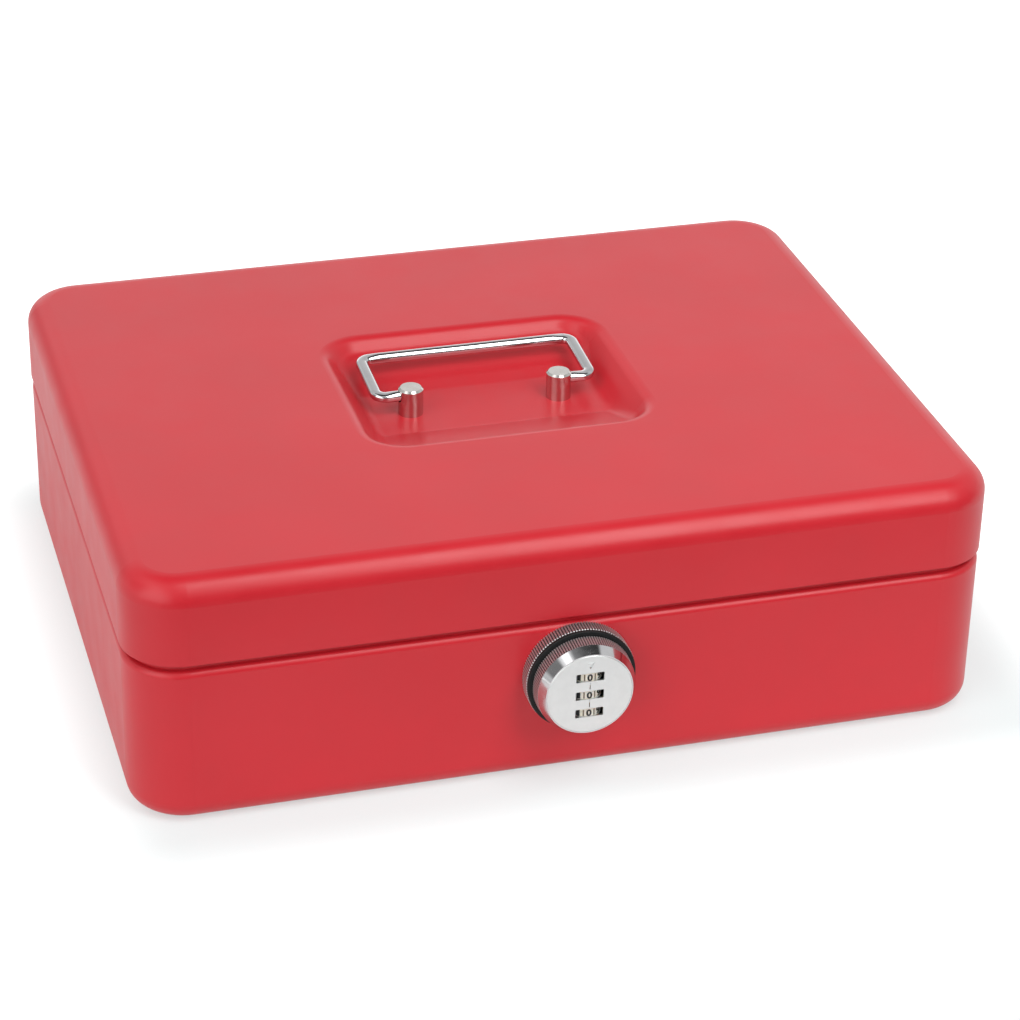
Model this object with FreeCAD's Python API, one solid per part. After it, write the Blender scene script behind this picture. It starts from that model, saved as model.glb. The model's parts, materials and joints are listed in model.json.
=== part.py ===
import FreeCAD, Part
import math
import os
from FreeCAD import Vector

# Cash box of drawn steel sheet: a base with a raised neck, a hinged lid with a sunk carrying handle,
# and a knob lock with three number wheels. Millimetres. X runs along the front, Y to the rear, Z up.
# The origin is the middle of the underside.

# Box
lid_width = 300.0
lid_depth = 237.0
box_height = 91.0
rim_height = 61.0
corner_radius = 20.0
lid_edge_radius = 8.5
base_edge_radius = 7.0
lid_sheet = 1.0
base_sheet = 1.0
lid_overhang = 0.3
rim_gap = 2.8
shoulder_radius = 2.2
shoulder_inset = 2.5
neck_rise = 5.0

# Sunk pan of the lid
pan_width = 104.0
pan_length = 85.5
pan_depth = 10.5
pan_corner_radius = 15.0
pan_wall_run = 9.0
pan_flat_length = 31.0
pan_ramp_slope = 0.25
pan_bend_radius = 5.0
pan_floor_radius = 6.0

# Carrying handle and its posts
post_pitch = 55.0
post_radius = 4.5
post_height = 10.2
post_chamfer = 0.7
post_neck_radius = 2.5
post_head_radius = 4.0
post_head_height = 1.1
post_washer_radius = 6.0
post_washer_height = 1.0
handle_rod_radius = 2.0
handle_width = 79.4
handle_reach = 27.4
handle_bend_radius = 3.6
handle_tilt = 4.0
handle_drop = 3.05
handle_end_wall = 1.0
handle_hole_gap = 0.3
end_play = 0.3

# Hinges
hinge_from_side = 65.0
hinge_length = 48.0
hinge_middle_length = 19.0
hinge_leaf_sheet = 0.8
hinge_leaf_height = 12.0
hinge_leaf_corner = 3.0
knuckle_radius = 2.0
hinge_pin_radius = 1.0
hinge_pin_head_radius = 1.7
hinge_pin_head_length = 0.8
knuckle_wall_gap = 0.4
knuckle_rim_gap = 0.2
knuckle_leaf_gap = 0.6
knuckle_end_gap = 0.25

# Lock: distances out are from the outside of the front wall
lock_height = 39.4
flange_radius = 19.0
flange_out = 5.0
flange_back = 0.7
barrel_radius = 11.0
barrel_length = 14.0
spindle_radius = 7.0
friction_ring_radius = 18.8
friction_ring_height = 1.3
friction_ring_round = 0.55
knob_rear_radius = 17.3
knob_rear_out = 6.4
knob_waist_radius = 16.9
knob_waist_out = 11.65
knob_front_radius = 15.1
knob_rim_width = 0.4
knob_rim_drop = 0.1
face_out = 15.1
face_height = 0.8
face_chamfer = 0.1
carrier_radius = 13.5
carrier_disc_radius = 15.5
washer_radius = 15.0
washer_height = 1.0
nut_flats = 27.0
nut_height = 4.0

# Number wheels, their shaft and the pieces beside them
wheel_radius = 5.9
wheel_height = 4.4
wheel_pitch = 6.85
wheel_middle = -0.35
wheel_recess = 0.3
wheel_face_gap = 0.2
code_disc_radius = 4.8
code_disc_height = 1.3
code_gate_width = 1.4
code_gate_depth = 1.1
wheel_shaft_radius = 1.5
wheel_shaft_margin = 2.2
window_width = 9.7
window_height = 3.2
window_radius = 0.35
engraving_depth = 0.2
engraving_width = 0.28
arrow_width = 2.6
arrow_height = 2.5
arrow_rise = 11.0
detent_strip = 0.35
detent_width = 2.6
detent_bump_radius = 0.5
bar_width = 1.3
bar_depth = 1.2
bar_tooth_height = 0.9

# Cam on the spindle and the catch that hangs from the lid
cam_sheet = 2.0
cam_hub_radius = 8.5
cam_arm_width = 10.0
cam_arm_reach = 23.0
tang_side = 8.0
screw_washer_radius = 6.0
screw_washer_height = 0.8
screw_head_radius = 4.5
screw_head_height = 2.2
screw_radius = 2.0
screw_depth = 8.0
screw_slot_width = 1.0
screw_slot_depth = 1.1
catch_sheet = 1.5
catch_width = 12.0
catch_side_gap = 1.5
catch_tab_gap = 0.5
catch_over_neck = 3.0
catch_behind_nut = 3.0
catch_lip_gap = 1.6
catch_lip_past_cam = 2.3

# Coin tray, and the ledges in the neck that carry it
tray_front = -80.0
tray_rear_gap = 8.0
tray_side_gap = 5.9
tray_depth = 26.0
tray_corner = 13.0
tray_wall = 1.6
tray_flange = 1.6
tray_flange_gap = 2.7
tray_flange_corner = 6.0
ledge_sheet = 1.0
ledge_height = 5.0
ledge_play = 0.6
ledge_past_flange = 5.0
tray_scoop_radius = 9.0
tray_front_row = 67.0
tray_middle_row = 56.0
tray_front_pockets = 5
tray_middle_pockets = 5
tray_rear_pockets = 2

# Clearances
running_gap = 0.05
thrust_gap = 0.1
hole_gap = 0.1
turning_gap = 0.3

# Places that follow from the sizes above
lid_half_x = lid_width / 2
lid_half_y = lid_depth / 2
base_half_x = lid_half_x - lid_overhang
base_half_y = lid_half_y - lid_overhang
base_corner = corner_radius - lid_overhang
shoulder_height = rim_height - rim_gap
neck_half_x = base_half_x - shoulder_inset
neck_half_y = base_half_y - shoulder_inset
neck_corner = base_corner - shoulder_inset
neck_top = rim_height + neck_rise
pan_floor = box_height - pan_depth
post_x = post_pitch / 2
post_top = pan_floor + post_height
handle_z = post_top - handle_drop
hinge_y = base_half_y + knuckle_wall_gap + knuckle_radius
hinge_z = rim_height - knuckle_rim_gap - knuckle_radius
hinge_x = lid_half_x - hinge_from_side
front_y = -base_half_y
carrier_front = face_out - face_height
face_radius = knob_front_radius - knob_rim_width
wheel_out = face_out - wheel_recess - wheel_radius
wheel_heights = [wheel_middle + wheel_pitch * step for step in (1, 0, -1)]
wheel_names = ("top", "middle", "bottom")
cam_out = -barrel_length - thrust_gap
cam_rear = cam_out - cam_sheet
tray_half_x = neck_half_x - base_sheet - tray_side_gap
tray_rear = neck_half_y - base_sheet - tray_rear_gap
tray_mid_y = (tray_rear + tray_front) / 2
tray_half_y = (tray_rear - tray_front) / 2
flange_half_y = tray_half_y - neck_corner
ledge_top = neck_top - tray_flange
sides = (("left", -1), ("right", 1))


def block(x0, x1, y0, y1, z0, z1):
    return Part.makeBox(x1 - x0, y1 - y0, z1 - z0, Vector(x0, y0, z0))


def rod(start, end, radius):
    along = end - start
    return Part.makeCylinder(radius, along.Length, start, along)


def prism(points, along):
    wire = Part.makePolygon(points + points[:1])
    return Part.Face(wire).extrude(along)


def rounded_wire(half_x, half_y, radius, z, middle=(0, 0)):
    mid_x, mid_y = middle
    edges = []
    corners = ((1, -1, -90), (1, 1, 0), (-1, 1, 90), (-1, -1, 180))
    ends = []
    for side_x, side_y, start in corners:
        centre = Vector(mid_x + side_x * (half_x - radius), mid_y + side_y * (half_y - radius), z)
        turn = [math.radians(start + step) for step in (0, 45, 90)]
        ends.append([centre + Vector(math.cos(a), math.sin(a), 0) * radius for a in turn])
    for index, arc in enumerate(ends):
        edges.append(Part.Arc(*arc).toShape())
        following = ends[(index + 1) % len(ends)]
        edges.append(Part.LineSegment(arc[2], following[0]).toShape())
    return Part.Wire(edges)


def rounded_prism(half_x, half_y, radius, z0, z1, middle=(0, 0)):
    return Part.Face(rounded_wire(half_x, half_y, radius, z0, middle)).extrude(Vector(0, 0, z1 - z0))


def edges_at(shape, z):
    return [e for e in shape.Edges if all(abs(v.Z - z) < 1e-4 for v in e.Vertexes)]


def drawn_box(half_x, half_y, corner, z0, z1, bottom=0, top=0):
    shape = rounded_prism(half_x, half_y, corner, z0, z1)
    if bottom:
        shape = shape.makeFillet(bottom, edges_at(shape, z0))
    if top:
        shape = shape.makeFillet(top, edges_at(shape, z1))
    return shape


def rounded_path(points, radius):
    edges = []
    start = points[0]
    for before, corner, after in zip(points, points[1:], points[2:]):
        back = (before - corner).normalize()
        on = (after - corner).normalize()
        half = back.getAngle(on) / 2
        reach = radius / math.tan(half)
        bisector = (back + on).normalize()
        middle = corner + bisector * (radius / math.sin(half) - radius)
        edges.append(Part.LineSegment(start, corner + back * reach).toShape())
        edges.append(Part.Arc(corner + back * reach, middle, corner + on * reach).toShape())
        start = corner + on * reach
    edges.append(Part.LineSegment(start, points[-1]).toShape())
    return Part.Wire(edges)


def lock_point(x, out, rise):
    return Vector(x, front_y - out, lock_height + rise)


def lock_block(x0, x1, out0, out1, rise0, rise1):
    low, high = lock_point(x0, out1, rise0), lock_point(x1, out0, rise1)
    return block(low.x, high.x, low.y, high.y, low.z, high.z)


def lock_rod(out0, out1, radius):
    return rod(lock_point(0, out0, 0), lock_point(0, out1, 0), radius)


def lock_turned(profile):
    points = [lock_point(radius, out, 0) for radius, out in profile]
    face = Part.Face(Part.makePolygon(points + points[:1]))
    return face.revolve(lock_point(0, 0, 0), Vector(0, 1, 0), 360)


def upright(radius, rise0, rise1):
    return rod(lock_point(0, wheel_out, rise0), lock_point(0, wheel_out, rise1), radius)


# Base: drawn tray with a rounded shoulder that turns in to the neck
def base_shell():
    outer = drawn_box(base_half_x, base_half_y, base_corner, 0, shoulder_height,
                      base_edge_radius, shoulder_radius)
    neck = rounded_prism(neck_half_x, neck_half_y, neck_corner,
                         shoulder_height - shoulder_radius, neck_top)
    hollow = drawn_box(base_half_x - base_sheet, base_half_y - base_sheet, base_corner - base_sheet,
                       base_sheet, shoulder_height - base_sheet,
                       base_edge_radius - base_sheet, shoulder_radius - base_sheet)
    mouth = rounded_prism(neck_half_x - base_sheet, neck_half_y - base_sheet, neck_corner - base_sheet,
                          shoulder_height - shoulder_radius, neck_top)
    lock_hole = lock_rod(-2 * base_sheet, base_sheet, barrel_radius + hole_gap)
    return outer.fuse(neck).cut(hollow.fuse(mouth)).cut(lock_hole).removeSplitter()


# Room of the sunk pan, grown by a sheet's thickness for its underside
def pan_room(grow):
    wall_angle = math.atan2(pan_depth, pan_wall_run)
    side_grow = grow / math.sin(wall_angle)
    wires = []
    for depth in (0, pan_depth + grow):
        inset = pan_wall_run / pan_depth * depth - side_grow
        wires.append(rounded_wire(pan_width / 2 - inset, pan_length / 2 - inset,
                                  pan_corner_radius - inset, box_height - depth))
    walls = Part.makeLoft(wires, True, True)
    far = pan_length
    flat = pan_flat_length / 2
    ramp_top = pan_floor + pan_ramp_slope * (far - flat) - grow
    profile = [(-far, ramp_top), (-flat, pan_floor - grow), (flat, pan_floor - grow),
               (far, ramp_top), (far, 2 * box_height), (-far, 2 * box_height)]
    floor = prism([Vector(-pan_width, y, z) for y, z in profile], Vector(2 * pan_width, 0, 0))
    room = walls.common(floor)
    low = [e for e in room.Edges if min(v.Z for v in e.Vertexes) < box_height - 1e-3]
    foot = [e for e in low if not is_wall_edge(e)]
    return room.makeFillet(pan_floor_radius + grow, foot)


def is_wall_edge(edge):
    ends = [v.Z for v in edge.Vertexes]
    return max(ends) > box_height - 1e-3


# Edges where the lid's top turns down into the pan
def pan_mouth(shape, z):
    reach = pan_width / 2 + pan_bend_radius
    return [e for e in edges_at(shape, z) if max(abs(v.X) for v in e.Vertexes) < reach]


def lid_shell():
    outer = drawn_box(lid_half_x, lid_half_y, corner_radius, rim_height, box_height, 0, lid_edge_radius)
    hollow = drawn_box(lid_half_x - lid_sheet, lid_half_y - lid_sheet, corner_radius - lid_sheet,
                       rim_height, box_height - lid_sheet, 0, lid_edge_radius - lid_sheet)
    under = hollow.cut(pan_room(lid_sheet))
    under = under.makeFillet(pan_bend_radius - lid_sheet, pan_mouth(under, box_height - lid_sheet))
    shell = outer.cut(under).cut(pan_room(0))
    shell = shell.makeFillet(pan_bend_radius, pan_mouth(shell, box_height))
    for _, side in sides:
        foot = Vector(side * post_x, 0, pan_floor - 2 * lid_sheet)
        shell = shell.cut(rod(foot, foot + Vector(0, 0, 3 * lid_sheet), post_neck_radius))
    return shell.removeSplitter()


# Handle post: riveted through the pan, with a blind cross hole for the handle's end
def handle_post(side):
    foot = Vector(side * post_x, 0, pan_floor)
    up = Vector(0, 0, 1)
    body = rod(foot, foot + up * post_height, post_radius)
    body = body.makeChamfer(post_chamfer, [edges_at(body, post_top)[0]])
    under_washer = lid_sheet + post_washer_height
    neck = rod(foot - up * under_washer, foot, post_neck_radius)
    head = rod(foot - up * (under_washer + post_head_height), foot - up * under_washer, post_head_radius)
    post = body.fuse(neck).fuse(head)
    inner = Vector(side * (post_x - post_radius + handle_end_wall), 0, handle_z)
    outer = Vector(side * (post_x + post_radius + end_play), 0, handle_z)
    return post.cut(rod(inner, outer, handle_rod_radius + handle_hole_gap)).removeSplitter()


def post_washers():
    rings = []
    for _, side in sides:
        top = Vector(side * post_x, 0, pan_floor - lid_sheet)
        low = top - Vector(0, 0, post_washer_height)
        rings.append(rod(low, top, post_washer_radius).cut(rod(low, top, post_neck_radius)))
    return Part.makeCompound(rings)


# Handle: one bent rod whose ends turn in to the posts
def carry_handle():
    end_x = post_x - post_radius + handle_end_wall + end_play
    half = handle_width / 2
    outline = [(-end_x, 0), (-half, 0), (-half, handle_reach), (half, handle_reach), (half, 0), (end_x, 0)]
    points = [Vector(x, y, handle_z) for x, y in outline]
    path = rounded_path(points, handle_bend_radius)
    circle = Part.Wire(Part.makeCircle(handle_rod_radius, points[0], Vector(1, 0, 0)))
    bent = path.makePipeShell([circle], True, False)
    bent.rotate(Vector(0, 0, handle_z), Vector(1, 0, 0), handle_tilt)
    return bent


# Flat hinge leaf on a wall, its two corners away from the knuckle rounded
def flat_leaf(mid, wall, z0, z1, outer_z):
    half = hinge_length / 2
    leaf = block(mid - half, mid + half, wall, wall + hinge_leaf_sheet, z0, z1)
    corners = [e for e in edges_at(leaf, outer_z) if abs(e.Vertexes[0].X - e.Vertexes[1].X) < 1e-6]
    return leaf.makeFillet(hinge_leaf_corner, corners)


def knuckle(x0, x1, bore):
    axis0, axis1 = Vector(x0, hinge_y, hinge_z), Vector(x1, hinge_y, hinge_z)
    return rod(axis0, axis1, knuckle_radius), rod(axis0, axis1, bore)


# Base leaf: flat on the rear wall, with a knuckle at each end
def hinge_base_leaf(side):
    mid = side * hinge_x
    half, inner = hinge_length / 2, hinge_middle_length / 2 + knuckle_end_gap
    top = hinge_z - knuckle_radius - knuckle_leaf_gap
    rear = base_half_y + hinge_leaf_sheet
    low = top - hinge_leaf_height
    leaf = flat_leaf(mid, base_half_y, low, top, low)
    for x0, x1 in ((mid - half, mid - inner), (mid + inner, mid + half)):
        barrel, bore = knuckle(x0, x1, hinge_pin_radius)
        leaf = leaf.fuse(block(x0, x1, base_half_y, rear, top, hinge_z)).fuse(barrel).cut(bore)
    return leaf.removeSplitter()


# Lid leaf: flat on the lid's rear wall, with one knuckle between those of the base
def hinge_lid_leaf(side):
    mid = side * hinge_x
    inner = hinge_middle_length / 2
    low = hinge_z + knuckle_radius + knuckle_leaf_gap
    rear = lid_half_y + hinge_leaf_sheet
    leaf = flat_leaf(mid, lid_half_y, low, low + hinge_leaf_height, low + hinge_leaf_height)
    barrel, bore = knuckle(mid - inner, mid + inner, hinge_pin_radius + running_gap)
    tab = block(mid - inner, mid + inner, lid_half_y, rear, hinge_z, low)
    return leaf.fuse(tab).fuse(barrel).cut(bore).removeSplitter()


def hinge_pin(side):
    mid = side * hinge_x
    half = hinge_length / 2
    axis = [Vector(mid + x, hinge_y, hinge_z) for x in (-half - hinge_pin_head_length, -half, half,
                                                        half + hinge_pin_head_length)]
    pin = rod(axis[1], axis[2], hinge_pin_radius)
    for start, end in ((axis[0], axis[1]), (axis[2], axis[3])):
        pin = pin.fuse(rod(start, end, hinge_pin_head_radius))
    return pin.removeSplitter()


# Lock flange: the fixed outer ring, its back plate and the barrel through the wall
def lock_flange():
    ring_bore = carrier_disc_radius + hole_gap
    spindle_bore = spindle_radius + running_gap
    return lock_turned([(spindle_bore, -barrel_length), (barrel_radius, -barrel_length), (barrel_radius, 0),
                        (flange_radius, 0), (flange_radius, flange_out), (ring_bore, flange_out),
                        (ring_bore, flange_back), (spindle_bore, flange_back)])


def friction_ring():
    front = flange_out + friction_ring_height
    ring = lock_turned([(carrier_disc_radius + hole_gap, flange_out), (friction_ring_radius, flange_out),
                        (friction_ring_radius, front), (carrier_disc_radius + hole_gap, front)])
    rim = [e for e in ring.Edges if isinstance(e.Curve, Part.Circle)
           and abs(e.Curve.Radius - friction_ring_radius) < 1e-4]
    return ring.makeFillet(friction_ring_round, rim)


def lock_washer():
    rear = -base_sheet - washer_height
    return lock_rod(-base_sheet, rear, washer_radius).cut(lock_rod(-base_sheet, rear, barrel_radius))


def lock_nut():
    front = -base_sheet - washer_height
    reach = nut_flats / math.sqrt(3)
    corners = [lock_point(reach * math.cos(math.radians(a)), front, reach * math.sin(math.radians(a)))
               for a in range(30, 390, 60)]
    hexagon = prism(corners, Vector(0, nut_height, 0))
    return hexagon.cut(lock_rod(front, front - nut_height, barrel_radius))


# Knob shell: knurled band, then a polished taper up to a narrow rim round the face
def knob_shell():
    rim_out = face_out - knob_rim_drop
    seat_radius = face_radius + running_gap
    return lock_turned([(carrier_radius, knob_rear_out), (knob_rear_radius, knob_rear_out),
                        (knob_waist_radius, knob_waist_out), (knob_front_radius, rim_out),
                        (seat_radius, rim_out), (seat_radius, carrier_front),
                        (carrier_radius, carrier_front)])


def window(rise):
    half_w, half_h, r = window_width / 2, window_height / 2, window_radius
    hole = lock_block(-half_w, half_w, carrier_front, face_out, rise - half_h, rise + half_h)
    upright_edges = [e for e in hole.Edges if abs(e.Vertexes[0].Y - e.Vertexes[1].Y) > face_height / 2]
    return hole.makeFillet(r, upright_edges)


# Arrow pointing down, each side moved inwards by the width of an engraved line
def arrow(line):
    slope = math.atan2(arrow_width / 2, arrow_height)
    half = arrow_width / 2 - line / math.tan((math.pi / 2 - slope) / 2)
    top = arrow_height / 2 - line
    point = line / math.sin(slope) - arrow_height / 2
    floor = face_out - engraving_depth
    corners = [lock_point(x, floor, arrow_rise + z) for x, z in ((-half, top), (half, top), (0, point))]
    return prism(corners, Vector(0, -2 * engraving_depth, 0))


# Face: a disc with a window over each wheel, an engraved arrow and engraved index lines
def face_plate():
    plate = lock_turned([(0, carrier_front), (face_radius, carrier_front),
                         (face_radius, face_out - face_chamfer), (face_radius - face_chamfer, face_out),
                         (0, face_out)])
    for rise in wheel_heights:
        low, _, high = wheel_span(rise)
        relief = upright(wheel_radius + wheel_face_gap, low - turning_gap, high + turning_gap)
        plate = plate.cut(window(rise)).cut(relief)
    plate = plate.cut(arrow(0).cut(arrow(engraving_width)))
    half = engraving_width / 2
    margin = window_height / 2 + 2 * engraving_width
    for upper, lower in zip(wheel_heights, wheel_heights[1:]):
        plate = plate.cut(lock_block(-half, half, face_out - engraving_depth, face_out,
                                     lower + margin, upper - margin))
    return plate


def wheel_span(rise):
    low = rise - wheel_height / 2
    return low, low + wheel_height, low + wheel_height + code_disc_height


# Carrier: turns with the knob, holds the wheels in three rooms and ends in the spindle
def wheel_carrier():
    back = flange_back + thrust_gap
    body = lock_turned([(0, cam_out), (spindle_radius, cam_out), (spindle_radius, back),
                        (carrier_disc_radius, back), (carrier_disc_radius, knob_rear_out),
                        (carrier_radius, knob_rear_out), (carrier_radius, carrier_front),
                        (0, carrier_front)])
    half = tang_side / 2
    body = body.fuse(lock_block(-half, half, cam_rear, cam_out, -half, half))
    body = body.cut(lock_rod(cam_rear, cam_rear + screw_depth, screw_radius))
    room = wheel_radius + turning_gap
    for rise in wheel_heights:
        low, _, high = wheel_span(rise)
        body = body.cut(lock_block(-room, room, wheel_out - wheel_radius - turning_gap, carrier_front,
                                   low - turning_gap, high + turning_gap))
    low, high = stack_span()
    body = body.cut(upright(wheel_shaft_radius, low - wheel_shaft_margin, high + wheel_shaft_margin))
    half = detent_width / 2
    body = body.cut(lock_block(-room - detent_strip, -room, wheel_out - half, wheel_out + half, low, high))
    half = bar_depth / 2
    return body.cut(lock_block(room, room + bar_width, wheel_out - half, wheel_out + half, low, high))


def stack_span():
    return wheel_span(wheel_heights[-1])[0], wheel_span(wheel_heights[0])[2]


def wheel_shaft():
    low, high = stack_span()
    return upright(wheel_shaft_radius, low - wheel_shaft_margin, high + wheel_shaft_margin)


def number_wheel(rise):
    low, high, _ = wheel_span(rise)
    return upright(wheel_radius, low, high).cut(upright(wheel_shaft_radius + running_gap, low, high))


# Code disc: turns with its wheel, with one gate that the locking bar's tooth fits
def code_disc(rise):
    _, low, high = wheel_span(rise)
    disc = upright(code_disc_radius, low, high).cut(upright(wheel_shaft_radius + running_gap, low, high))
    half = code_gate_width / 2
    return disc.cut(lock_block(code_disc_radius - code_gate_depth, code_disc_radius,
                               wheel_out - half, wheel_out + half, low, high))


# Detent spring: a strip with one bump beside each wheel
def detent_spring():
    low, high = stack_span()
    room = wheel_radius + turning_gap
    half = detent_width / 2
    strip = lock_block(-room - detent_strip, -room, wheel_out - half, wheel_out + half, low, high)
    bump_x = -wheel_radius - thrust_gap - detent_bump_radius
    for rise in wheel_heights:
        bump = rod(lock_point(bump_x, wheel_out, rise - wheel_height / 4),
                   lock_point(bump_x, wheel_out, rise + wheel_height / 4), detent_bump_radius)
        keep = lock_block(-room, 0, wheel_out - half, wheel_out + half, low, high)
        strip = strip.fuse(bump.common(keep))
    return strip.removeSplitter()


# Locking bar: a strip with a tooth in front of each code disc
def locking_bar():
    low, high = stack_span()
    room = wheel_radius + turning_gap
    half = bar_depth / 2
    bar = lock_block(room, room + bar_width, wheel_out - half, wheel_out + half, low, high)
    for rise in wheel_heights:
        _, disc_low, disc_high = wheel_span(rise)
        mid = (disc_low + disc_high) / 2
        bar = bar.fuse(lock_block(code_disc_radius + turning_gap, room, wheel_out - half, wheel_out + half,
                                  mid - bar_tooth_height / 2, mid + bar_tooth_height / 2))
    return bar.removeSplitter()


# Cam: points up while the lock is open, and swings a quarter turn over the catch's lip
def lock_cam():
    half = cam_arm_width / 2
    cam = lock_rod(cam_out, cam_rear, cam_hub_radius)
    tip_rise = cam_arm_reach - half
    cam = cam.fuse(lock_block(-half, half, cam_rear, cam_out, 0, tip_rise))
    tip = rod(lock_point(0, cam_out, tip_rise), lock_point(0, cam_rear, tip_rise), half)
    half = tang_side / 2
    return cam.fuse(tip).cut(lock_block(-half, half, cam_rear, cam_out, -half, half)).removeSplitter()


def cam_washer():
    rear = cam_rear - screw_washer_height
    return lock_rod(cam_rear, rear, screw_washer_radius).cut(lock_rod(cam_rear, rear, screw_radius))


def cam_screw():
    seat = cam_rear - screw_washer_height
    rear = seat - screw_head_height
    screw = lock_rod(rear, seat, screw_head_radius).fuse(lock_rod(seat, cam_rear + screw_depth, screw_radius))
    half = screw_slot_width / 2
    return screw.cut(lock_block(-screw_head_radius, screw_head_radius, rear, rear + screw_slot_depth,
                                -half, half)).removeSplitter()


# Catch: a strap welded inside the lid's front, bent over the neck and down to a lip under the cam's path
def catch_plate():
    x0 = barrel_radius + catch_side_gap
    x1 = x0 + catch_width
    wall = -lid_half_y + lid_sheet
    shelf = neck_top + catch_over_neck
    nut_rear = front_y + base_sheet + washer_height + nut_height
    strap_y = nut_rear + catch_behind_nut
    lip_top = lock_height - cam_arm_width / 2 - catch_lip_gap
    lip_low = lip_top - catch_sheet
    lip_rear = front_y - cam_rear + catch_lip_past_cam
    tab_top = box_height - lid_edge_radius - catch_tab_gap
    plate = block(x0, x1, wall, wall + catch_sheet, shelf, tab_top)
    for y0, y1, z0, z1 in ((wall, strap_y + catch_sheet, shelf, shelf + catch_sheet),
                           (strap_y, strap_y + catch_sheet, lip_low, shelf),
                           (strap_y, lip_rear, lip_low, lip_top)):
        plate = plate.fuse(block(x0, x1, y0, y1, z0, z1))
    return plate.removeSplitter()


# Tray ledge: an angle strip welded inside the neck, under the tray's flange
def tray_ledge(side):
    wall = neck_half_x - base_sheet
    inner = tray_half_x + ledge_play
    half = flange_half_y + ledge_past_flange
    strip = None
    for x0, low in ((wall - ledge_sheet, ledge_top - ledge_height), (inner, ledge_top - ledge_sheet)):
        left, right = sorted((side * x0, side * wall))
        leg = block(left, right, tray_mid_y - half, tray_mid_y + half, low, ledge_top)
        strip = strip.fuse(leg) if strip else leg
    return strip.removeSplitter()


# Coin tray: hangs by its side flanges on the ledges and lifts out
def coin_tray():
    low = neck_top - tray_depth
    middle = (0, tray_mid_y)
    tray = rounded_prism(tray_half_x, tray_half_y, tray_corner, low, neck_top, middle)
    reach = neck_half_x - base_sheet - tray_flange_gap
    flange = rounded_prism(reach, flange_half_y, tray_flange_corner, ledge_top, neck_top, middle)
    tray = tray.fuse(flange)
    floor = low + tray_wall
    for x0, x1, y0, y1 in tray_pockets():
        pocket = rounded_prism((x1 - x0) / 2, (y1 - y0) / 2, tray_corner - tray_wall, floor,
                               neck_top, ((x0 + x1) / 2, (y0 + y1) / 2))
        tray = tray.cut(pocket.makeFillet(tray_scoop_radius, edges_at(pocket, floor)))
    return tray.removeSplitter()


def tray_pockets():
    half_x = tray_half_x - tray_wall
    rear_row = 2 * tray_half_y - tray_front_row - tray_middle_row - 4 * tray_wall
    rows = ((tray_front_pockets, tray_front_row), (tray_middle_pockets, tray_middle_row),
            (tray_rear_pockets, rear_row))
    y = tray_front + tray_wall
    for count, length in rows:
        width = (2 * half_x - tray_wall * (count - 1)) / count
        for index in range(count):
            x = -half_x + index * (width + tray_wall)
            yield x, x + width, y, y + length
        y += length + tray_wall


def build():
    nodes = {
        "base_shell": base_shell(),
        "lid_shell": lid_shell(),
        "post_washers": post_washers(),
        "carry_handle": carry_handle(),
        "lock_flange": lock_flange(),
        "friction_ring": friction_ring(),
        "lock_washer": lock_washer(),
        "lock_nut": lock_nut(),
        "knob_shell": knob_shell(),
        "face_plate": face_plate(),
        "wheel_carrier": wheel_carrier(),
        "wheel_shaft": wheel_shaft(),
        "detent_spring": detent_spring(),
        "locking_bar": locking_bar(),
        "lock_cam": lock_cam(),
        "cam_washer": cam_washer(),
        "cam_screw": cam_screw(),
        "catch_plate": catch_plate(),
        "coin_tray": coin_tray(),
    }
    for name, side in sides:
        nodes["handle_post_" + name] = handle_post(side)
        nodes["hinge_base_leaf_" + name] = hinge_base_leaf(side)
        nodes["hinge_lid_leaf_" + name] = hinge_lid_leaf(side)
        nodes["hinge_pin_" + name] = hinge_pin(side)
        nodes["tray_ledge_" + name] = tray_ledge(side)
    for name, rise in zip(wheel_names, wheel_heights):
        nodes["number_wheel_" + name] = number_wheel(rise)
        nodes["code_disc_" + name] = code_disc(rise)
    return nodes


os.makedirs("parts", exist_ok=True)
for node, shape in build().items():
    print(node, "solids", len(shape.Solids), "volume", round(shape.Volume, 2), "valid", shape.isValid())
    shape.exportStep("parts/" + node + ".step")
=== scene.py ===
import json
import math
import bmesh
import bpy
from mathutils import Matrix, Vector


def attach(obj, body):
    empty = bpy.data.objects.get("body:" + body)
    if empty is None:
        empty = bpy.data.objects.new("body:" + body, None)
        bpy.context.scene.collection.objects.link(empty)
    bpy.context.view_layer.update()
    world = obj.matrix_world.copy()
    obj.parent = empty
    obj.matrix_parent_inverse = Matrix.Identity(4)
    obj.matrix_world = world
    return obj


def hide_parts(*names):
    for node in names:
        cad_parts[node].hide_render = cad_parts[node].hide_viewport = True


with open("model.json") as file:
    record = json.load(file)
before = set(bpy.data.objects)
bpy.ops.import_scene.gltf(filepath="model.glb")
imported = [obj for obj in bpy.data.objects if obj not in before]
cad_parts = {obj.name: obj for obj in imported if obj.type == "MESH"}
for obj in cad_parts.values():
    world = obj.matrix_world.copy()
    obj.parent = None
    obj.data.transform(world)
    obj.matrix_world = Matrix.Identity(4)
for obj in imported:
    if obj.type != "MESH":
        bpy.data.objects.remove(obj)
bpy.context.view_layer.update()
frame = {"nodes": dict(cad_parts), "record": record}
nodes = frame["nodes"]
mm = 0.001
print("frame loaded:", len(nodes), "CAD pieces")


# shader helpers

even = (1, 1, 1)
acrossTurning = (0.02, 0.02, 1)  # fine rings round an upright turned piece
noiseSpan = (0.3, 0.7)           # where most of a noise lies
toneEnds = (0.35, 0.65)          # where a noise reaches the first and the second tone
toneDetail, fineDetail = 3.0, 2.0
soaked = {"radius": (1.0, 0.85, 0.65), "scale": 0.0015}  # how far light spreads inside pale plastic
white = (1, 1, 1, 1)


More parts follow.
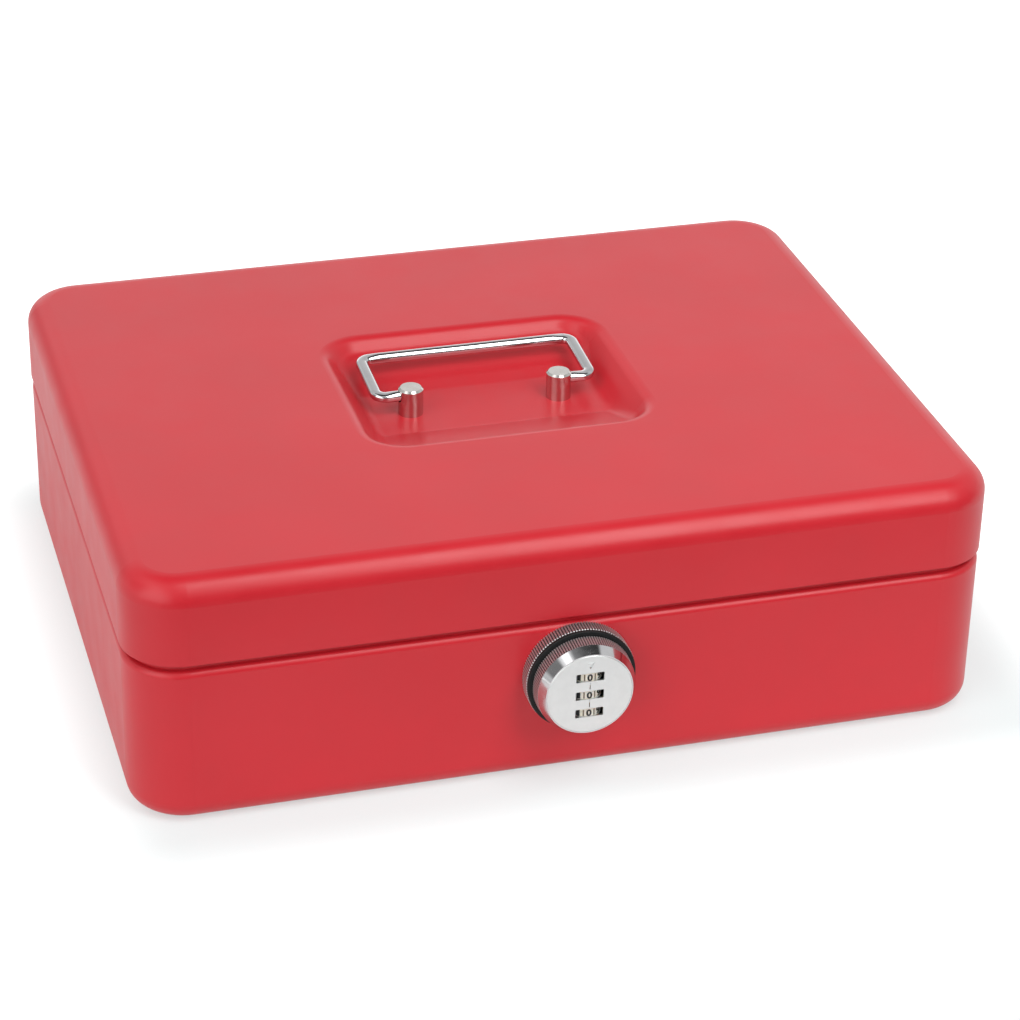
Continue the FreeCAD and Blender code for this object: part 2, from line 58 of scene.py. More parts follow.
def newFinish(name):
    finish = bpy.data.materials.new(name)
    finish.use_nodes = True
    return finish, finish.node_tree, finish.node_tree.nodes["Principled BSDF"]


def addNode(tree, kind, inputs=None, **settings):
    # an input is a plain value, or the socket that feeds it
    node = tree.nodes.new("ShaderNode" + kind)
    for key, value in settings.items():
        setattr(node, key, value)
    for key, value in (inputs or {}).items():
        if isinstance(value, bpy.types.NodeSocket):
            tree.links.new(value, node.inputs[key])
        else:
            node.inputs[key].default_value = value
    return node


def addMath(tree, operation, *values):
    return addNode(tree, "Math", dict(enumerate(values)), operation=operation).outputs[0]


def addVectorMath(tree, operation, *values):
    return addNode(tree, "VectorMath", dict(enumerate(values)), operation=operation).outputs["Vector"]


def mixNumbers(tree, share, first, second):
    node = addNode(tree, "Mix", {"Factor": share, "A": first, "B": second}, data_type="FLOAT")
    return node.outputs["Result"]


def mixColours(tree, share, first, second):
    # 6, 7 and 2 are the colour sockets of this node, whose names repeat
    node = addNode(tree, "Mix", {"Factor": share, 6: first, 7: second}, data_type="RGBA")
    return node.outputs[2]


def addNoise(tree, scale, detail, stretch=even):
    place = addNode(tree, "TexCoord").outputs["Object"]  # in metres
    mapped = addNode(tree, "Mapping", {"Vector": place, "Scale": stretch}).outputs["Vector"]
    return addNode(tree, "TexNoise", {"Vector": mapped, "Scale": scale, "Detail": detail}).outputs[0]


def addRange(tree, source, low, high):
    node = addNode(tree, "MapRange", {"Value": source, "From Min": noiseSpan[0], "From Max": noiseSpan[1],
                                      "To Min": low, "To Max": high})
    return node.outputs["Result"]


def addTones(tree, source, first, second):
    ramp = addNode(tree, "ValToRGB", {"Fac": source})
    for stop, place, colour in zip(ramp.color_ramp.elements, toneEnds, (first, second)):
        stop.position, stop.color = place, (*colour, 1)
    return ramp.outputs["Color"]


def addBump(tree, source, strength, height, under):
    inputs = {"Height": source, "Strength": strength, "Distance": height}
    if under is not None:
        inputs["Normal"] = under
    return addNode(tree, "Bump", inputs).outputs["Normal"]


def addMark(tree, name):
    # a value from 0 to 1 that turned pieces carry: "groove" at the bottoms of knurled gaps, which darkens the
    # chrome there as painted shade, "knurl" on the band
    return addNode(tree, "Attribute", attribute_name=name).outputs["Fac"]


def surfaceFinish(name, tones, toneScale, rough, roughScale, bumps, metallic=0.0, specular=0.5, paintedGrooveShade=None,
                  knurlRough=None, soaking=0.0):
    finish, tree, shader = newFinish(name)
    shader.inputs["Metallic"].default_value = metallic
    shader.inputs["Specular IOR Level"].default_value = specular
    if soaking:
        shader.inputs["Subsurface Weight"].default_value = soaking
        shader.inputs["Subsurface Radius"].default_value = soaked["radius"]
        shader.inputs["Subsurface Scale"].default_value = soaked["scale"]
    colour = addTones(tree, addNoise(tree, toneScale, toneDetail), *tones)
    # painted shade: the colour turns dark grey towards the bottoms of knurled gaps
    if paintedGrooveShade:
        colour = mixColours(tree, addMark(tree, "groove"), colour, (*paintedGrooveShade, 1))
    tree.links.new(colour, shader.inputs["Base Color"])
    roughness = addRange(tree, addNoise(tree, roughScale, fineDetail), *rough)
    if knurlRough:
        roughness = mixNumbers(tree, addMark(tree, "knurl"), roughness, knurlRough)
    tree.links.new(roughness, shader.inputs["Roughness"])
    normal = None
    for scale, stretch, strength, height in bumps:
        normal = addBump(tree, addNoise(tree, scale, fineDetail, stretch), strength, height, normal)
    tree.links.new(normal, shader.inputs["Normal"])
    return finish


# finishes: two tones, the least and most rough, and bumps as (scale, stretch, strength, height)
finishSpecs = {
    "redPowderCoat": {
        "tones": ((0.603, 0.0158, 0.0262), (0.631, 0.0172, 0.0288)), "toneScale": 30,
        "rough": (0.33, 0.39), "roughScale": 60,
        "bumps": ((850, even, 0.10, 0.00010), (2200, even, 0.16, 0.00005))},
    "brightChrome": {
        "tones": ((0.62, 0.62, 0.63), (0.67, 0.67, 0.68)), "toneScale": 120,
        "rough": (0.07, 0.12), "roughScale": 500,
        "bumps": ((380, even, 0.015, 0.00010), (1500, even, 0.02, 0.00002)),
        # the dark grey below is painted shade in the knurled gaps
        "metallic": 1.0, "paintedGrooveShade": (0.14, 0.12, 0.115), "knurlRough": 0.55},
    "satinNickel": {
        "tones": ((0.62, 0.60, 0.57), (0.67, 0.65, 0.62)), "toneScale": 300,
        "rough": (0.15, 0.21), "roughScale": 700,
        "bumps": ((9000, acrossTurning, 0.02, 0.00002),), "metallic": 1.0},
    "faceSilver": {
        "tones": ((0.73, 0.76, 0.755), (0.76, 0.79, 0.785)), "toneScale": 300,
        "rough": (0.32, 0.40), "roughScale": 900,
        "bumps": ((5200, even, 0.05, 0.00002),), "metallic": 1.0},
    "blackRubber": {
        "tones": ((0.009, 0.010, 0.010), (0.015, 0.016, 0.016)), "toneScale": 900,
        "rough": (0.45, 0.62), "roughScale": 1200,
        "bumps": ((4200, even, 0.15, 0.00004),), "specular": 0.2},
    "zincPlate": {
        "tones": ((0.50, 0.51, 0.53), (0.64, 0.65, 0.67)), "toneScale": 260,
        "rough": (0.24, 0.42), "roughScale": 420,
        "bumps": ((2300, even, 0.10, 0.00003),), "metallic": 1.0},
    "stampedBrass": {
        "tones": ((0.66, 0.48, 0.20), (0.74, 0.56, 0.26)), "toneScale": 400,
        "rough": (0.25, 0.40), "roughScale": 800,
        "bumps": ((3500, even, 0.10, 0.00002),), "metallic": 1.0},
    "ivoryPlastic": {
        "tones": ((0.88, 0.81, 0.69), (0.92, 0.85, 0.73)), "toneScale": 600,
        "rough": (0.40, 0.52), "roughScale": 1500,
        "bumps": ((6000, even, 0.08, 0.00002),), "soaking": 0.7},
    "blackPlastic": {
        "tones": ((0.010, 0.010, 0.010), (0.018, 0.018, 0.018)), "toneScale": 500,
        "rough": (0.42, 0.58), "roughScale": 1200,
        "bumps": ((5000, even, 0.12, 0.00003),)},
    "trayPlastic": {
        "tones": ((0.022, 0.023, 0.026), (0.030, 0.031, 0.034)), "toneScale": 60,
        "rough": (0.42, 0.55), "roughScale": 300,
        "bumps": ((1300, even, 0.22, 0.00010), (4200, even, 0.10, 0.00004))},
    # brown that stands in for the shade in the moulded grooves between the digits: painted shade
    "grooveShadeBrown": {
        "tones": ((0.12, 0.085, 0.055), (0.19, 0.14, 0.095)), "toneScale": 3000,
        "rough": (0.45, 0.60), "roughScale": 5000,
        "bumps": ((9000, even, 0.05, 0.00001),)},
    "blackInk": {
        "tones": ((0.010, 0.010, 0.010), (0.022, 0.021, 0.020)), "toneScale": 4000,
        "rough": (0.45, 0.60), "roughScale": 5000,
        "bumps": ((9000, even, 0.05, 0.00001),)},
}
finishes = {name: surfaceFinish(name, **spec) for name, spec in finishSpecs.items()}
print("finishes mixed:", len(finishes))

slotFinish = {
    "red_paint": "redPowderCoat", "chrome": "brightChrome", "satin_nickel": "satinNickel",
    "face_silver": "faceSilver", "black_rubber": "blackRubber", "zinc_steel": "zincPlate",
    "code_brass": "stampedBrass", "ivory_plastic": "ivoryPlastic", "black_plastic": "blackPlastic",
    "tray_plastic": "trayPlastic",
}
nodeSlot = {part["node"]: part["material_slot"] for part in frame["record"]["subparts"]}
for nodeName, cadPiece in nodes.items():
    cadPiece.data.materials.clear()
    cadPiece.data.materials.append(finishes[slotFinish[nodeSlot[nodeName]]])
print("CAD pieces painted")


# mesh helpers

def addPiece(name, corners, faces, body, slotName, finishName=None, sharpAngle=28.0, marks=None):
    mesh = bpy.data.meshes.new(name)
    mesh.from_pydata(corners, [], faces)
    for mark, values in (marks or {}).items():
        mesh.attributes.new(mark, "FLOAT", "POINT").data.foreach_set("value", values)
    shape = bmesh.new()
    shape.from_mesh(mesh)
    bmesh.ops.recalc_face_normals(shape, faces=shape.faces)
    shape.to_mesh(mesh)
    shape.free()
    mesh.shade_smooth()
    mesh.set_sharp_from_angle(angle=math.radians(sharpAngle))
    mesh.materials.append(finishes[finishName or slotFinish[slotName]])
    piece = bpy.data.objects.new(name, mesh)
    bpy.context.scene.collection.objects.link(piece)
    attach(piece, body)
    return piece


def stripFaces(here, following, count):
    # faces between two rings of points that start at these numbers
    return [(here + step, here + (step + 1) % count, following + (step + 1) % count, following + step)
            for step in range(count)]


def turnedShape(profile, sides, place, teeth=(0.0,), depth=0.0):
    # profile is a closed loop of (radius, along, share of the tooth depth); teeth repeats round it
    corners, faces, marks = [], [], {"groove": [], "knurl": []}
    for side in range(sides):
        angle = 2 * math.pi * side / sides
        dent = teeth[side % len(teeth)]
        for radius, along, share in profile:
            reach = radius - depth * dent * share
            corners.append(place(reach * math.sin(angle), reach * math.cos(angle), along))
            # how deep the point lies in a knurled gap, which the chrome darkens as painted shade
            marks["groove"].append(dent * share)
            marks["knurl"].append(share)
    count = len(profile)
    for side in range(sides):
        faces += stripFaces(side * count, (side + 1) % sides * count, count)
    return corners, faces, marks


def roundedCorner(centre, radius, start, end, steps):
    # arc points of a turned profile, angles in degrees from the outward direction
    points = []
    for step in range(steps + 1):
        angle = math.radians(start + (end - start) * step / steps)
        points.append((centre[0] + radius * math.cos(angle), centre[1] + radius * math.sin(angle), 0.0))
    return points


# carrying handle: one bent rod with its arms and bends pressed flat, lying back in its posts
handleRod = {"radius": 2.0, "halfWidth": 39.7, "reach": 27.4, "bend": 3.6, "endX": 24.3, "height": 87.65,
             "tilt": 4.0, "bendSteps": 20, "sides": 48, "runStep": 1.5}
pressedArm = {"halfWide": 2.15, "halfThick": 1.6, "square": 2.6, "startX": 32.8, "fullX": 37.0}


def roundedRoute(points, bend, steps):
    route = [points[0]]
    for before, corner, after in zip(points, points[1:], points[2:]):
        back, on = (before - corner).normalized(), (after - corner).normalized()
        half = back.angle(on) / 2
        reach = bend / math.tan(half)
        middle = corner + (back + on).normalized() * (bend / math.sin(half))
        first, last = corner + back * reach - middle, corner + on * reach - middle
        for step in range(steps + 1):
            route.append(middle + first.normalized().slerp(last.normalized(), step / steps) * bend)
    route.append(points[-1])
    return route


def divideRuns(route, length):
    divided = [route[0]]
    for start, end in zip(route, route[1:]):
        count = max(1, round((end - start).length / length))
        divided += [start.lerp(end, step / count) for step in range(1, count + 1)]
    return divided


def rodSection(x, radius, sides):
    # points (sideways, up) round the rod: a circle that turns into a flat, square-shouldered oval at the arms
    share = (abs(x) - pressedArm["startX"]) / (pressedArm["fullX"] - pressedArm["startX"])
    share = min(max(share, 0.0), 1.0)
    share = share ** 2 * (3 - 2 * share)
    wide = radius + (pressedArm["halfWide"] - radius) * share
    thick = radius + (pressedArm["halfThick"] - radius) * share
    power = 2 / (2 + (pressedArm["square"] - 2) * share)
    points = []
    for side in range(sides):
        across, up = math.cos(2 * math.pi * side / sides), math.sin(2 * math.pi * side / sides)
        points.append((math.copysign(abs(across) ** power, across) * wide,
                       math.copysign(abs(up) ** power, up) * thick))
    return points


def makeHandle(spec):
    half, reach, endX = spec["halfWidth"], spec["reach"], spec["endX"]
    outline = ((-endX, 0), (-half, 0), (-half, reach), (half, reach), (half, 0), (endX, 0))
    route = roundedRoute([Vector((x, y, 0)) for x, y in outline], spec["bend"], spec["bendSteps"])
    route = divideRuns(route, spec["runStep"])
    turn = Matrix.Rotation(math.radians(spec["tilt"]), 3, "X")
    lift = Vector((0, 0, spec["height"]))
    corners, faces = [], []
    sides, upward = spec["sides"], Vector((0, 0, 1))
    for index, point in enumerate(route):
        before, after = route[max(index - 1, 0)], route[min(index + 1, len(route) - 1)]
        sideways = (after - before).normalized().cross(upward)
        for across, up in rodSection(point.x, spec["radius"], sides):
            corners.append((turn @ (point + sideways * across + upward * up) + lift) * mm)
    for index in range(len(route) - 1):
        faces += stripFaces(index * sides, (index + 1) * sides, sides)
    last = (len(route) - 1) * sides
    faces.append(tuple(range(sides)))
    faces.append(tuple(last + side for side in range(sides)))
    handle = addPiece("carryHandle", corners, faces, "handle", "chrome", sharpAngle=40)
    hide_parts("carry_handle")


makeHandle(handleRod)
print("handle bent")


# lock: distances out are from the outside of the front wall
lock = {"frontY": -118.2, "height": 39.4}
flangeRing = {"radius": 19.0, "out": 5.0, "bore": 15.6, "floor": 0.7, "teeth": 120, "toothDepth": 0.5,
              "bevel": 0.22, "bevelTooth": 0.7, "barrelRadius": 11.0, "barrelBore": 7.05, "barrelLength": 14.0,
              "threadPitch": 1.0, "threadDepth": 0.4,
              "threadShape": (0.15, 0.5, 0.65)}  # shares of the pitch: foot of the slope, both ends of the crest
rubberRing = {"radius": 18.8, "bore": 15.6, "back": 5.0, "height": 1.3, "round": 0.55, "roundSteps": 8,
              "sides": 192}
knobShell = {"bore": 13.5, "rearRadius": 17.3, "rearOut": 6.4, "waistRadius": 16.9, "waistOut": 11.65,
             "frontRadius": 15.1, "frontOut": 15.0, "seatRadius": 14.75, "seatOut": 14.3, "teeth": 120,
             "toothDepth": 0.36, "bevel": 0.3, "bevelTooth": 0.3, "bandLip": 0.03, "groove": 0.4,
             "grooveShape": (0.75, 0.35)}  # shares of the groove's width where its floor starts and ends
toothShape = (0.0, 0.06, 0.30, 1.0, 1.0, 0.30, 0.06)  # share of the depth over one rounded tooth and its gap


def lockPlace(x, rise, out):
    return Vector((x, lock["frontY"] - out, lock["height"] + rise)) * mm


def knurledShape(profile, spec):
    return turnedShape(profile, spec["teeth"] * len(toothShape), lockPlace, toothShape, spec["toothDepth"])


def makeLockFlange(spec):
    radius, out, bevel, bore = (spec[key] for key in ("radius", "out", "bevel", "bore"))
    barrel, length, pitch = spec["barrelRadius"], spec["barrelLength"], spec["threadPitch"]
    root = barrel - spec["threadDepth"]
    foot, crest, crestEnd = (share * pitch for share in spec["threadShape"])
    profile = [(spec["barrelBore"], -length, 0), (root, -length, 0)]
    for turn in range(int(length / pitch) - 1):
        start = -length + pitch * turn
        profile += [(root, start + foot, 0), (barrel, start + crest, 0), (barrel, start + crestEnd, 0)]
    profile += [(barrel, 0.0, 0), (radius, 0.0, 1), (radius, out - bevel, 1),
                (radius - bevel, out, spec["bevelTooth"]), (bore, out, 0), (bore, spec["floor"], 0),
                (spec["barrelBore"], spec["floor"], 0)]
    corners, faces, marks = knurledShape(profile, spec)
    flange = addPiece("lockFlange", corners, faces, "base", "chrome", sharpAngle=20, marks=marks)
    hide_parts("lock_flange")


def makeRubberRing(spec):
    radius, back, soft, steps = (spec[key] for key in ("radius", "back", "round", "roundSteps"))
    front = back + spec["height"]
    profile = [(spec["bore"], back, 0)]
    profile += roundedCorner((radius - soft, back + soft), soft, -90, 0, steps)
    profile += roundedCorner((radius - soft, front - soft), soft, 0, 90, steps)
    profile += [(spec["bore"], front, 0)]
    corners, faces, _ = turnedShape(profile, spec["sides"], lockPlace)
    ring = addPiece("frictionRing", corners, faces, "base", "black_rubber", sharpAngle=50)
    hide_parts("friction_ring")


def makeKnobShell(spec):
    rear, rearOut, bevel, groove = (spec[key] for key in ("rearRadius", "rearOut", "bevel", "groove"))
    waist, waistOut, seat, seatOut = (spec[key] for key in ("waistRadius", "waistOut", "seatRadius", "seatOut"))
    floorStart, floorEnd = (waistOut - groove * share for share in spec["grooveShape"])
    profile = [(spec["bore"], rearOut, 0), (rear - bevel, rearOut, spec["bevelTooth"]), (rear, rearOut + bevel, 1),
               (waist + spec["bandLip"], waistOut - groove, 1), (waist - groove, floorStart, 0),
               (waist - groove, floorEnd, 0), (waist, waistOut, 0), (spec["frontRadius"], spec["frontOut"], 0),
               (seat, spec["frontOut"], 0), (seat, seatOut, 0), (spec["bore"], seatOut, 0)]
    corners, faces, marks = knurledShape(profile, spec)
    shell = addPiece("knobShell", corners, faces, "knob", "chrome", sharpAngle=18, marks=marks)
    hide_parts("knob_shell")


makeLockFlange(flangeRing)
makeRubberRing(rubberRing)
makeKnobShell(knobShell)
print("lock rings turned and knurled")


# number wheels with printed digits
wheels = {"radius": 5.9, "height": 4.4, "bore": 1.55, "edge": 0.25, "edgeSteps": 4, "sides": 120, "out": 8.9,
          "rises": {"top": 6.5, "middle": -0.35, "bottom": -7.2}}
digits = {"count": 10, "stepDegrees": 36.0, "width": 1.9, "oneWidth": 1.178, "height": 2.6, "weight": 0.04,
          "raise": 0.03, "drop": 0.25, "curveSteps": 5, "slices": 8, "weld": 1e-5,
          "barWidth": 0.45, "barHeight": 2.45}


def wheelPlace(rise):
    def place(x, y, along):
        return Vector((x, lock["frontY"] - wheels["out"] - y, lock["height"] + rise + along)) * mm
    return place


def makeWheel(name, rise):
    radius, half, edge, bore = wheels["radius"], wheels["height"] / 2, wheels["edge"], wheels["bore"]
    profile = [(bore, -half, 0), (radius - edge, -half, 0)]
    profile += roundedCorner((radius - edge, -half + edge), edge, -90, 0, wheels["edgeSteps"])
    profile += roundedCorner((radius - edge, half - edge), edge, 0, 90, wheels["edgeSteps"])
    profile += [(bore, half, 0)]
    corners, faces, _ = turnedShape(profile, wheels["sides"], wheelPlace(rise))
    wheel = addPiece("numberWheel." + name, corners, faces, "wheel_" + name, "ivory_plastic", sharpAngle=50)
    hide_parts("number_wheel_" + name)


def digitShape(number):
    font = bpy.data.curves.new("digit", "FONT")
    font.body, font.offset, font.resolution_u = str(number), digits["weight"], digits["curveSteps"]
    holder = bpy.data.objects.new("digit", font)
    bpy.context.scene.collection.objects.link(holder)
    bpy.context.view_layer.update()
    mesh = bpy.data.meshes.new_from_object(holder.evaluated_get(bpy.context.evaluated_depsgraph_get()))
    bpy.data.objects.remove(holder)
    shape = bmesh.new()
    shape.from_mesh(mesh)
    bpy.data.meshes.remove(mesh)
    bmesh.ops.remove_doubles(shape, verts=shape.verts, dist=digits["weld"])
    spanX = [v.co.x for v in shape.verts]
    spanY = [v.co.y for v in shape.verts]
    width = digits["oneWidth"] if number == 1 else digits["width"]
    scaleX = width / (max(spanX) - min(spanX))
    scaleY = digits["height"] / (max(spanY) - min(spanY))
    midX, midY = (max(spanX) + min(spanX)) / 2, (max(spanY) + min(spanY)) / 2
    for v in shape.verts:
        v.co = Vector(((v.co.x - midX) * scaleX, (v.co.y - midY) * scaleY, 0))
    for cut in range(1, digits["slices"]):
        x = -width / 2 + width * cut / digits["slices"]
        bmesh.ops.bisect_plane(shape, geom=shape.verts[:] + shape.edges[:] + shape.faces[:],
                               plane_co=(x, 0, 0), plane_no=(1, 0, 0))
    return shape


def barShape(number):
    # the same bar after every number: a real separator mark, printed flat in a brown that stands in for the shade
    # in a moulded groove
    shape = bmesh.new()
    halfX, halfY = digits["barWidth"] / 2, digits["barHeight"] / 2
    outline = ((-halfX, -halfY), (halfX, -halfY), (halfX, halfY), (-halfX, halfY))
    shape.faces.new([shape.verts.new((x, y, 0)) for x, y in outline])
    return shape


def thicken(shape, height):
    made = bmesh.ops.extrude_face_region(shape, geom=shape.faces[:])
    for v in made["geom"]:
        if isinstance(v, bmesh.types.BMVert):
            v.co.z += height


def addWrapped(shape, angle, corners, faces):
    # bends a flat print round the wheel at this angle, half sunk in it
    start = len(corners)
    shape.verts.index_update()
    for v in shape.verts:
        turn, reach = angle + v.co.x / wheels["radius"], wheels["radius"] + v.co.z - digits["raise"]
        corners.append((reach * math.sin(turn), reach * math.cos(turn), v.co.y - digits["drop"]))
    for f in shape.faces:
        faces.append(tuple(start + v.index for v in f.verts))


def makePrints(pieceName, finishName, shapeOf, shift):
    # one print for each number round each wheel, turned by a share of the step between digits
    corners, faces = [], []
    step = math.radians(digits["stepDegrees"])
    for number in range(digits["count"]):
        shape = shapeOf(number)
        thicken(shape, 2 * digits["raise"])
        addWrapped(shape, (shift - number) * step, corners, faces)
        shape.free()
    for name, rise in wheels["rises"].items():
        place = wheelPlace(rise)
        placed = [place(*corner) for corner in corners]
        addPiece(pieceName + "." + name, placed, faces, "wheel_" + name, None, finishName, sharpAngle=40)


for wheelName, wheelRise in wheels["rises"].items():
    makeWheel(wheelName, wheelRise)
makePrints("wheelDigits", "blackInk", digitShape, 0.0)
# separator bars between the digits, printed brown as painted shade of moulded grooves
makePrints("wheelBars", "grooveShadeBrown", barShape, 0.5)
print("number wheels printed")


# studio: pale paper on the floor, one tall soft box in front and surroundings of uneven brightness
studio = {"floorHalf": 6.0, "floorColour": (0.67, 0.67, 0.67), "floorSeenColour": (0.36, 0.42, 0.42),
          "paintedShadowGlow": (0.52, 1.0), "mirroredGlow": 0.32, "paperRough": 0.9, "paperShine": 0.1,
          "paperHeight": -0.0002, "footHalf": (0.148, 0.1165), "footCentre": (0.012, -0.008), "shadeReach": 0.05,
          "benchColour": (0.05, 0.05, 0.05), "benchHeight": -0.0001, "paperEdgeY": -0.28}
frontBox = {"place": (0.36, -0.74, 1.02), "aim": (0, 0, 0.05), "size": (0.50, 1.2), "power": 9.2}
# brightness by angle, from the floor in front over the top to the floor behind
skyArc = ((0, 0.10), (25, 0.26), (45, 0.36), (66, 0.45), (80, 0.66), (95, 0.76), (120, 0.70), (140, 0.58),
          (150, 0.76), (158, 1.18), (180, 1.42))
# parts that differ from it: (axis, from, to) soft edges, and how bright they are
skyParts = {
    "darkCeiling": {"edges": (("Z", 0.78, 0.86), ("Y", -0.09, -0.01), ("X", -0.38, -0.26), ("X", 0.70, 0.57)),
                    "bright": 0.05},
    "wallBackLeft": {"edges": (("Y", 0.10, 0.40), ("X", -0.15, -0.45), ("X", -0.85, -0.65),
                               ("Z", 0.50, 0.30)), "bright": 0.45},
    "paleFrontLeft": {"edges": (("X", -0.30, -0.60), ("Y", 0.05, -0.25)), "bright": 2.3},
    "darkLeft": {"edges": (("X", -0.66, -0.76), ("Y", -0.22, -0.08), ("Y", 0.35, 0.20), ("Z", 0.15, 0.30),
                           ("Z", 0.80, 0.70)), "bright": 0.25},
    "paleUpperLeft": {"edges": (("X", -0.36, -0.44), ("X", -0.66, -0.58), ("Y", -0.22, -0.12),
                                ("Y", 0.25, 0.15)), "bright": 1.8},
}


def addSeenBy(tree, *rays):
    # 1 for light paths of any of these kinds, else 0
    seen = addNode(tree, "LightPath")
    result = seen.outputs[rays[0]]
    for ray in rays[1:]:
        result = addMath(tree, "MAXIMUM", result, seen.outputs[ray])
    return result


def addGround(name, frontY, rearY, height, finish):
    half = studio["floorHalf"]
    mesh = bpy.data.meshes.new(name)
    corners = [(-half, frontY, height), (half, frontY, height), (half, rearY, height), (-half, rearY, height)]
    mesh.from_pydata(corners, [], [(0, 1, 2, 3)])
    mesh.materials.append(finish)
    ground = bpy.data.objects.new(name, mesh)
    bpy.context.scene.collection.objects.link(ground)
    return ground


def addNearness(tree, near, far):
    # a value that runs from near to far with the distance over the paper from the foot of the box, for a painted
    # shadow that is darkest at the foot
    place = addNode(tree, "TexCoord").outputs["Object"]
    folded = addVectorMath(tree, "ABSOLUTE", addVectorMath(tree, "SUBTRACT", place, (*studio["footCentre"], 0)))
    beyond = addVectorMath(tree, "SUBTRACT", folded, (*studio["footHalf"], 0))
    outside = addVectorMath(tree, "MAXIMUM", beyond, (0, 0, 0))
    length = addNode(tree, "VectorMath", {0: outside}, operation="LENGTH").outputs["Value"]
    spread = addNode(tree, "MapRange", {"Value": length, "From Max": studio["shadeReach"], "To Min": near,
                                        "To Max": far}, interpolation_type="SMOOTHSTEP")
    return spread.outputs["Result"]


def makeFloor():
    paper, tree, shader = newFinish("palePaper")
    shader.inputs["Roughness"].default_value = studio["paperRough"]
    shader.inputs["Specular IOR Level"].default_value = studio["paperShine"]
    shader.inputs["Emission Color"].default_value = white
    byCamera = addSeenBy(tree, "Is Camera Ray")
    # the paper seen by the camera is less red than the colour it bounces, a painted correction that cancels the
    # red light the box throws on it
    colour = mixColours(tree, byCamera, (*studio["floorColour"], 1), (*studio["floorSeenColour"], 1))
    mirrored = addMath(tree, "MULTIPLY", addSeenBy(tree, "Is Glossy Ray", "Is Transmission Ray"),
                       studio["mirroredGlow"])
    # painted shadow: the paper seen by the camera glows less near the foot of the box
    glow = mixNumbers(tree, byCamera, mirrored, addNearness(tree, *studio["paintedShadowGlow"]))
    tree.links.new(colour, shader.inputs["Base Color"])
    tree.links.new(glow, shader.inputs["Emission Strength"])
    addGround("floor", -studio["floorHalf"], studio["floorHalf"], studio["paperHeight"], paper)


def makeBench():
    # dark bench in front of the paper, outside the picture
    dark, _, shader = newFinish("darkBench")
    shader.inputs["Base Color"].default_value = (*studio["benchColour"], 1)
    bench = addGround("bench", -studio["floorHalf"], studio["paperEdgeY"], studio["benchHeight"], dark)
    bench.visible_camera = False


def addSkyArc(tree, parts):
    forward = addMath(tree, "MULTIPLY", parts.outputs["Y"], -1.0)
    upward = addMath(tree, "ABSOLUTE", parts.outputs["Z"])
    share = addMath(tree, "DIVIDE", addMath(tree, "ARCTAN2", upward, forward), math.pi)
    ramp = addNode(tree, "ValToRGB", {"Fac": share})
    peak = max(bright for degrees, bright in skyArc)
    stops = ramp.color_ramp.elements
    for place, (degrees, bright) in enumerate(skyArc):
        stop = stops[0] if place == 0 else stops[-1] if place == len(skyArc) - 1 else stops.new(degrees / 180)
        stop.position = degrees / 180
        stop.color = (*[bright / peak] * 3, 1)
    return addMath(tree, "MULTIPLY", ramp.outputs["Color"], peak)


def addSkyPart(tree, parts, spec, bright):
    # brings the brightness to spec["bright"] inside this part
    inside = None
    for axis, start, end in spec["edges"]:
        flip = start > end
        edge = addNode(tree, "MapRange", {"Value": parts.outputs[axis], "From Min": min(start, end),
                                          "From Max": max(start, end), "To Min": float(flip),
                                          "To Max": float(not flip)}, interpolation_type="SMOOTHSTEP")
        edge = edge.outputs["Result"]
        inside = edge if inside is None else addMath(tree, "MULTIPLY", inside, edge)
    return mixNumbers(tree, inside, bright, spec["bright"])


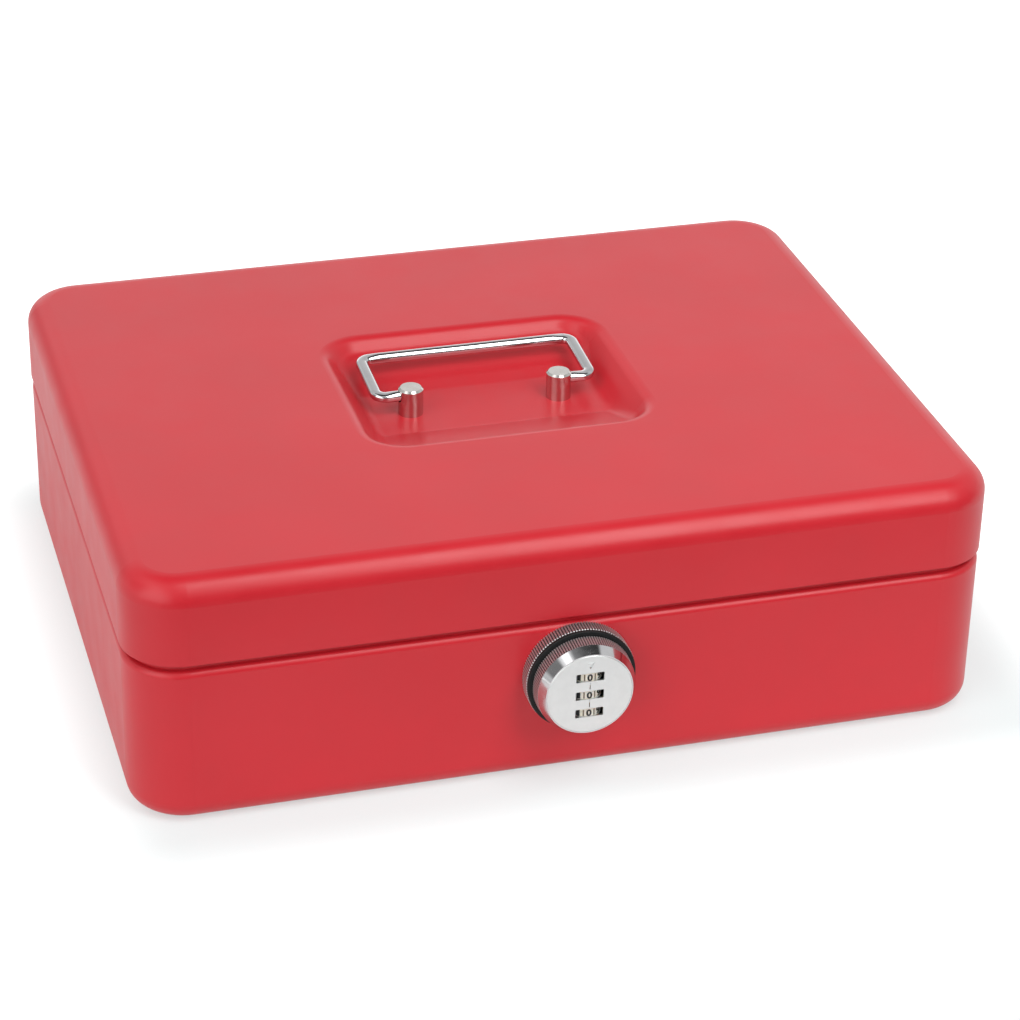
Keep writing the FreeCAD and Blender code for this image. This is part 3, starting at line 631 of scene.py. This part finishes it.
def makeSky():
    sky = bpy.data.worlds.new("studioSky")
    bpy.context.scene.world = sky
    sky.use_nodes = True
    tree = sky.node_tree
    tree.nodes.clear()
    place = addNode(tree, "TexCoord").outputs["Generated"]
    parts = addNode(tree, "SeparateXYZ", {0: place})
    bright = addSkyArc(tree, parts)
    for spec in skyParts.values():
        bright = addSkyPart(tree, parts, spec, bright)
    strength = mixNumbers(tree, addSeenBy(tree, "Is Camera Ray", "Is Transmission Ray"), bright, 1.0)
    back = addNode(tree, "Background", {"Color": white, "Strength": strength})
    addNode(tree, "OutputWorld", {"Surface": back.outputs["Background"]})


def makeSoftBox(name, spec):
    lamp = bpy.data.lights.new(name, "AREA")
    lamp.shape = "RECTANGLE"
    lamp.size, lamp.size_y = spec["size"]
    lamp.energy = spec["power"]
    box = bpy.data.objects.new(name, lamp)
    bpy.context.scene.collection.objects.link(box)
    box.location = spec["place"]
    aim = Vector(spec["aim"]) - Vector(spec["place"])
    box.rotation_euler = aim.to_track_quat("-Z", "Y").to_euler()
    box.visible_camera = False


makeFloor()
makeBench()
makeSky()
makeSoftBox("frontBox", frontBox)
bpy.context.scene.view_settings.view_transform = "Standard"
print("studio lit")


# camera fitted to the box's edges in a 1020 x 1020 picture
view = {"azimuth": -16.34, "elevation": 29.13, "roll": 1.207, "distance": 1.145762,
        "target": (0.010259, 0.0, 0.035504), "focalPixels": 3117.23, "picturePixels": 1020, "sensor": 36.0,
        "clip": (0.05, 30.0)}


def makeCamera(spec):
    azimuth, elevation, roll = (math.radians(spec[key]) for key in ("azimuth", "elevation", "roll"))
    back = Vector((math.sin(azimuth) * math.cos(elevation), -math.cos(azimuth) * math.cos(elevation),
                   math.sin(elevation)))
    right = (-back).cross(Vector((0, 0, 1))).normalized()
    up = right.cross(-back)
    tiltedRight = right * math.cos(roll) + up * math.sin(roll)
    tiltedUp = up * math.cos(roll) - right * math.sin(roll)
    lens = bpy.data.cameras.new("photoCamera")
    lens.sensor_width = spec["sensor"]
    lens.lens = spec["focalPixels"] / spec["picturePixels"] * spec["sensor"]
    lens.clip_start, lens.clip_end = spec["clip"]
    camera = bpy.data.objects.new("photoCamera", lens)
    bpy.context.scene.collection.objects.link(camera)
    turn = Matrix((tiltedRight, tiltedUp, back)).transposed().to_4x4()
    camera.matrix_world = Matrix.Translation(Vector(spec["target"]) + back * spec["distance"]) @ turn
    bpy.context.scene.camera = camera


makeCamera(view)
print("camera set")
